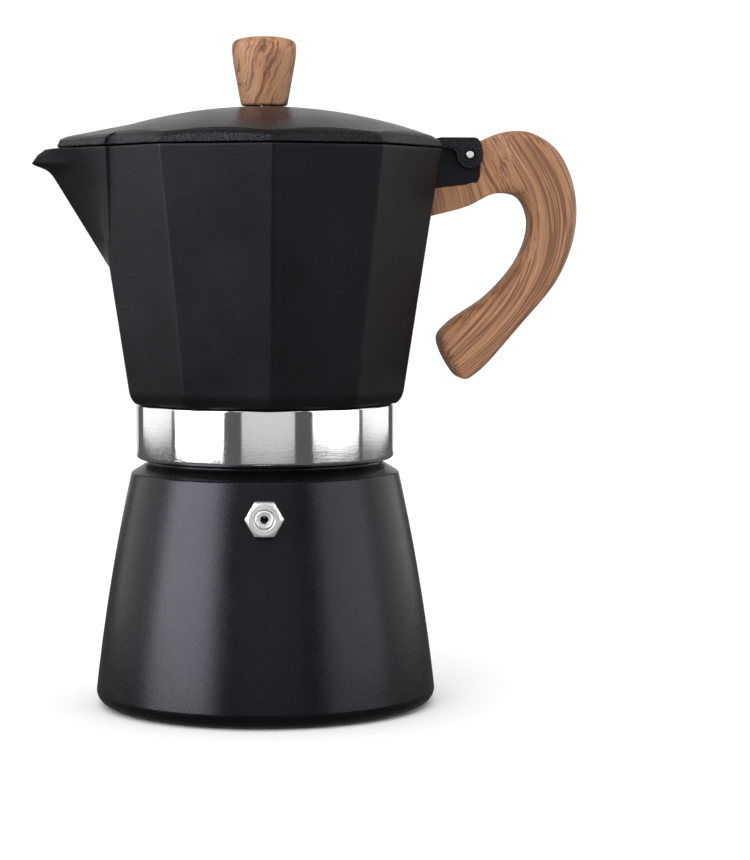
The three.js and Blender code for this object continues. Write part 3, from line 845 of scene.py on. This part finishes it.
def lid_height(x, y, inset):
    """Height of the lid's face: its dome, or the beak's sloping roof where that is higher."""
    r2 = np.minimum(x * x + y * y, (DOME_R - inset) ** 2 - 1)
    dome = LID_TOP - DOME_R + np.sqrt((DOME_R - inset) ** 2 - r2)
    roof = BEAK_ROOF_Z + BEAK_RISE * (x - BEAK_ROOF_X) - BEAK_FALL * np.sqrt(y * y + 0.3)
    roof = roof - inset * 1.03
    roof = roof - 0.6 * np.maximum(np.abs(y) - BEAK_ROOT_Y, 0)
    roof = np.where(x < -30, roof, 0)
    return smooth_max(dome, roof, 0.25)


def make_lid():
    outline = lid_outline(0)
    c, s = np.cos(LID_TURNS), np.sin(LID_TURNS)
    edge = lid_height(outline * c, outline * s, 0)
    flat = np.zeros(len(ANGLES))
    rings = [
        ring_points(LID_TURNS, outline - 0.35, flat + LID_BOTTOM),
        ring_points(LID_TURNS, outline - 0.1, flat + LID_BOTTOM + 0.1),
        ring_points(LID_TURNS, outline, flat + LID_BOTTOM + 0.35),
        ring_points(LID_TURNS, outline - SKIRT_LEAN, edge - 0.9),
    ]
    for t in np.linspace(0.2, 1, 5):
        turn = t * math.pi / 2
        reach = outline - SKIRT_LEAN - 0.7 * (1 - math.cos(turn))
        rings.append(ring_points(LID_TURNS, reach, edge - 0.9 + (0.9 - 0.12) * math.sin(turn)))
    for t in [*np.linspace(0.95, 0.7, 14), *np.linspace(0.66, 0.1, 15)]:
        reach = np.maximum(outline * t, 2.3)
        rings.append(ring_points(LID_TURNS, reach, lid_height(reach * c, reach * s, 0)))
    hole = np.full(len(ANGLES), 2.3)
    rings.append(ring_points(LID_TURNS, hole, lid_height(hole * c, hole * s, 0)))
    inner = lid_outline(LID_WALL)
    rings.append(ring_points(LID_TURNS, hole, lid_height(hole * c, hole * s, LID_WALL)))
    for t in [*np.linspace(0.15, 0.7, 10), *np.linspace(0.75, 0.985, 8)]:
        reach = inner * t
        rings.append(ring_points(LID_TURNS, reach, lid_height(reach * c, reach * s, LID_WALL)))
    rings.append(ring_points(LID_TURNS, inner, lid_height(inner * c, inner * s, LID_WALL) - 0.6))
    rings.append(ring_points(LID_TURNS, inner, flat + LID_BOTTOM + 0.2))
    rings.append(ring_points(LID_TURNS, inner + 0.2, flat + LID_BOTTOM))
    shell = skin("lid_shell", rings, True, 30)

    lobe = [
        (PIN_X + 4.1 * math.cos(math.radians(a)), PIN_Z + 4.1 * math.sin(math.radians(a)))
        for a in np.linspace(10, -180, 22)
    ]
    outline = [
        (51.5, 174.6), (54, 175.1), (64.3, 175.1), (65.2, 174.8), (65.8, 174.1), (66.4, 172.9), *lobe,
        (58.3, 170.9), (57.6, 171.5), (56.6, LID_BOTTOM), (51.5, LID_BOTTOM + 0.05),
    ]
    ears = []
    for side in (-1, 1):
        low, high = sorted((side * EAR_INNER, side * EAR_OUTER))
        face = (side * EAR_OUTER - 0.45 * side, side * (EAR_OUTER + 2))
        holes = [(PIN_X, PIN_Z, 1.3, -12, 12), (PIN_X, PIN_Z, 1.8, *sorted(face))]
        ears.append(prism(f"lid_ear{side}", outline, low, high, 0.35, 3, holes))
    join(shell, *ears)
    weigh_normals(shell)
    paint(shell, LID_BLACK)
    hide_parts("lid")
    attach(shell, "lid_assembly")

    half = EAR_OUTER + 0.4
    pin = turned(
        "hinge_rod", [(0, -half), (PIN_R, -half), (PIN_R, half), (0, half)], 48, 0.35,
        place=Matrix.Translation((PIN_X, 0, PIN_Z)) @ Matrix.Rotation(math.radians(90), 4, "X"),
    )
    paint(pin, PIN_STEEL)
    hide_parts("hinge_pin")
    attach(pin, "upper_chamber")


# ---------------------------------------------------------------- knob and screws
def set_grain(obj, function):
    """Stores function(x, y, z), in millimetres in and metres out, as the grain attribute."""
    layer = obj.data.attributes.new("grain", "FLOAT_VECTOR", "POINT")
    for i, vertex in enumerate(obj.data.vertices):
        layer.data[i].vector = function(vertex.co.x / MM, vertex.co.y / MM, vertex.co.z / MM)


def make_knob():
    z = KNOB_LOW[2]
    top = KNOB_HIGH[2]
    side = spline([
        (7.2, z + 0.5), (7.7, 188), (8.3, 191.3), (8.9, 194.5), (9.5, 198), (9.85, 201), (9.9, 202.6),
    ], 5)
    profile = [
        (3.1, z), (6.8, z), *[tuple(p) for p in side], (9.75, 203.6), (9.3, 204.4), (8.5, 204.9),
        (7.2, 205.3), (5, top - 0.2), (2.5, top - 0.05), (0, top), (0, 197.3), (3.1, 197.3),
    ]
    body = turned("knob_body", profile, 128, 0.3, True)
    set_grain(body, lambda x, y, z: ((0.9 * z + 0.45 * x) * MM, (x - 0.35 * z) * MM, (y + 0.1 * z) * MM))
    paint(body, KNOB_WOOD)
    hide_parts("knob")
    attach(body, "lid_assembly")

    insert = turned("knob_bush", [
        (0, 196), (1.9, 196), (1.9, 185), (2.9, 185), (2.9, 188), (2.5, 188.6), (2.5, 194),
        (2.9, 194.6), (2.9, 197), (0, 197),
    ], 64, 0.2)
    paint(insert, BRASS)
    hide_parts("knob_insert")
    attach(insert, "lid_assembly")

    under = LID_TOP - LID_WALL
    screws = [
        ("knob_bolt", "knob_screw", "lid_assembly", 0, [
            (0, under - 2.6), (2.6, under - 2.6), (3.6, under - 1.8), (3.6, under - 0.4),
            (1.7, under - 0.4), (1.7, 195.2), (0, 195.4),
        ], under - 1.7),
        ("handle_bolt", "handle_screw", "upper_chamber", SCREW_X, [
            (0, 154.8), (3.2, 154.8), (3.4, 155.2), (3.4, 157.2), (1.7, 157.2), (1.7, 167), (0, 167.4),
        ], 155.8),
    ]
    for name, node, body_name, x, profile, slot_top in screws:
        screw = turned(name, profile, 64, 0.25, place=Matrix.Translation((x, 0, 0)))
        slot = prism(
            name + "_slot", [(x - 5, 140), (x + 5, 140), (x + 5, slot_top), (x - 5, slot_top)],
            -0.45, 0.45, 0,
        )
        cut_out(screw, slot)
        paint(screw, SCREW_STEEL)
        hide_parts(node)
        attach(screw, body_name)


# ---------------------------------------------------------------- handle
HANDLE_CURVE = [
    (66.3, 174), (73, 176.7), (82, 176.8), (90.5, 171.4), (95.8, 160), (96.2, 146.5), (91, 132),
    (79.5, 117.7), (65.6, 102.8), (61, 100.8), (56.6, 105.5), (53.8, 113.5), (57, 118), (69.5, 127),
    (79, 138.6), (81.9, 149.5), (78.6, 157.1), (71.5, 158.1), (62, 153.9), (50.3, 150.8),
]
HANDLE_SEAT = [(51.7, 159.66), (63.35, 160.93), (65.4, 161.5), (66.3, 163.2)]
HANDLE_ROUND = 5
NOSE_HALF = 4.9
NOSE_END_X, NOSE_BLEND = 69.5, 7.5
GRIP_TOP_Z = 144
GRAIN_BEND, GRAIN_MIDDLE_Z = 0.0144, 148


def handle_grain(x, y, z):
    """Growth lines rise along the grip and lean back over the top."""
    return (z * MM, (x + GRAIN_BEND * (z - GRAIN_MIDDLE_Z) ** 2) * MM, y * MM)


def lengths(vectors):
    return np.linalg.norm(vectors, axis=1)


def edge_radii(outline, ahead, back):
    """Edge rounding along the outline: smaller on the nose and in the tight bends, evened out."""
    x, z = outline[:, 0], outline[:, 1]
    turning = (ahead[:, 0] * back[:, 1] - ahead[:, 1] * back[:, 0]) / lengths(ahead)
    turning = np.maximum(turning / lengths(back) / (lengths(ahead + back) / 2), 1e-3)
    wanted = np.where(z < 145, 1, np.clip((x - 66) / 10, 0.14, 1)) * HANDLE_ROUND
    radii = np.minimum(wanted, 0.7 / turning)
    near = range(-7, 8)
    radii = np.min([np.roll(radii, k) for k in near], 0)
    return np.mean([np.roll(radii, k) for k in near], 0)


def make_handle():
    outline = np.array([*spline(HANDLE_CURVE, 12), *HANDLE_SEAT])
    ahead = np.roll(outline, -1, 0) - outline
    back = outline - np.roll(outline, 1, 0)
    along = ahead / lengths(ahead)[:, None] + back / lengths(back)[:, None]
    along /= lengths(along)[:, None]
    inward = np.stack([along[:, 1], -along[:, 0]], 1)
    round_r = edge_radii(outline, ahead, back)
    half = HANDLE_HIGH[1]
    rings = []
    for side in (-1, 1):
        for turn in np.linspace(0, math.pi / 2, 9)[::side]:
            spot = outline + inward * (round_r * (1 - math.cos(turn)))[:, None]
            depth = side * (half - round_r * (1 - math.sin(turn)))
            rings.append(np.stack([spot[:, 0], depth, spot[:, 1]], 1))
    count = len(outline)
    points = np.concatenate(rings)
    faces = [tuple(range(count)), tuple(range(len(points) - count, len(points)))]
    for k in range(len(rings) - 1):
        for i in range(count):
            j = (i + 1) % count
            faces.append((k * count + i, k * count + j, (k + 1) * count + j, (k + 1) * count + i))
    grip = add_mesh("handle_grip", points, faces)

    bm = bmesh.new()
    bm.from_mesh(grip.data)
    for cut in np.arange(68, 79, 0.75):
        everything = [*bm.verts, *bm.edges, *bm.faces]
        bmesh.ops.bisect_plane(bm, geom=everything, plane_co=(cut * MM, 0, 0), plane_no=(1, 0, 0))
    for vertex in bm.verts:
        t = min(1, max(0, (vertex.co.x / MM - NOSE_END_X) / NOSE_BLEND))
        if vertex.co.z > GRIP_TOP_Z * MM:
            vertex.co.y *= NOSE_HALF / half + (1 - NOSE_HALF / half) * t * t * (3 - 2 * t)
        vertex.co.x = min(vertex.co.x, HANDLE_HIGH[0] * MM)
        vertex.co.z = min(vertex.co.z, HANDLE_HIGH[2] * MM)
    bmesh.ops.triangulate(bm, faces=[f for f in bm.faces if len(f.verts) > 4])
    bm.to_mesh(grip.data)
    bm.free()
    set_grain(grip, handle_grain)
    weigh_normals(grip)
    paint(grip, HANDLE_WOOD)
    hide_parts("handle")
    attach(grip, "upper_chamber")


make_boiler()
make_valve()
make_inside()
make_collar()
make_collector()
make_lid()
make_knob()
make_handle()


# ---------------------------------------------------------------- floor, light and camera
def make_floor():
    """A round pale floor that rises at its rim in one sweep. Polished surfaces don't mirror it."""
    flat, sweep, wall_top = 1.7, 0.7, 1.6
    profile = [(0, 0), (0.4, 0), (0.8, 0), (1.2, 0), (flat, 0)]
    for t in np.linspace(0.05, 1, 20):
        angle = t * math.pi / 2
        profile.append((flat + sweep * math.sin(angle), sweep * (1 - math.cos(angle))))
    profile.append((flat + sweep, wall_top))
    floor = turned("floor_sweep", [(r / MM, z / MM) for r, z in profile], 128, 0, smooth_angle=60)
    n = Nodes("floor_pale")
    cloud = n.noise(n.position(), 3, 3)
    n.finish(
        Base_Color=n.ramp(cloud, [(0.3, (0.86, 0.86, 0.86)), (0.7, (0.9, 0.9, 0.9))]),
        Roughness=n.spread(cloud, 0.75, 0.85),
    )
    floor.data.materials.append(n.material)
    floor.visible_glossy = False


def area_light(name, place, target, size, power):
    data = bpy.data.lights.new(name, "AREA")
    data.shape = "RECTANGLE"
    data.size, data.size_y = size
    data.energy = power
    light = bpy.data.objects.new(name, data)
    light.location = place
    light.rotation_euler = (Vector(target) - Vector(place)).to_track_quat("-Z", "Y").to_euler()
    light.visible_camera = False
    bpy.context.scene.collection.objects.link(light)
    return light


def make_lights():
    """Even light from above and the front. For the gloss, a ring of soft boxes and one high in front."""
    for name, place, size, power in [
        ("overhead", (0, 0, 2.6), (4.6, 4.6), 112), ("front_fill", (-0.8, -2.0, 1.0), (1.6, 1.6), 28),
    ]:
        area_light(name, place, (0, 0, 0), size, power).visible_glossy = False
    for name, x, y, width, power in [
        ("key", -1, -0.5, 1, 26), ("fill", 1, -0.5, 1, 8), ("front", 0, -0.95, 0.8, 1.6),
        ("rim_left", -1, 0.5, 1, 3.5), ("rim_right", 1, 0.5, 1, 3.5), ("back", 0, 0.95, 0.8, 1.6),
    ]:
        area_light(name, (x, y, 0.5), (0, 0, 0.5), (width, 1), power).visible_diffuse = False
    top = area_light("top_front", (0, -0.8, 1.1), (0, 0, 0.15), (1.2, 0.4), 2)
    top.visible_diffuse = False
    world = bpy.data.worlds.new("studio")
    world.use_nodes = True
    background = world.node_tree.nodes["Background"]
    background.inputs["Color"].default_value = (0.5, 0.5, 0.53, 1)
    background.inputs["Strength"].default_value = 0.22
    bpy.context.scene.world = world


def make_camera():
    """A long lens a little above the pot's middle, turned slightly to the left and tilted down."""
    sensor, frame_height, focal = 24, 860, 2575
    distance, eye, side = 0.798, 0.1406, 0.0341
    turn, tilt = math.radians(-2.6), math.radians(4.0)
    data = bpy.data.cameras.new("camera")
    data.sensor_fit = "VERTICAL"
    data.sensor_height = sensor
    data.lens = sensor * focal / frame_height
    camera = bpy.data.objects.new("camera", data)
    place = Vector((math.sin(turn) * distance, -math.cos(turn) * distance, eye))
    forward = Vector((-math.sin(turn), math.cos(turn), 0))
    pan = math.atan2(side, distance)
    camera.location = place
    look = Matrix.Rotation(-pan, 3, "Z") @ forward
    look = (look * math.cos(tilt) - Vector((0, 0, math.sin(tilt)))).normalized()
    camera.rotation_euler = look.to_track_quat("-Z", "Y").to_euler()
    bpy.context.scene.collection.objects.link(camera)
    bpy.context.scene.camera = camera


make_floor()
make_lights()
make_camera()
bpy.context.scene.view_settings.view_transform = "Standard"
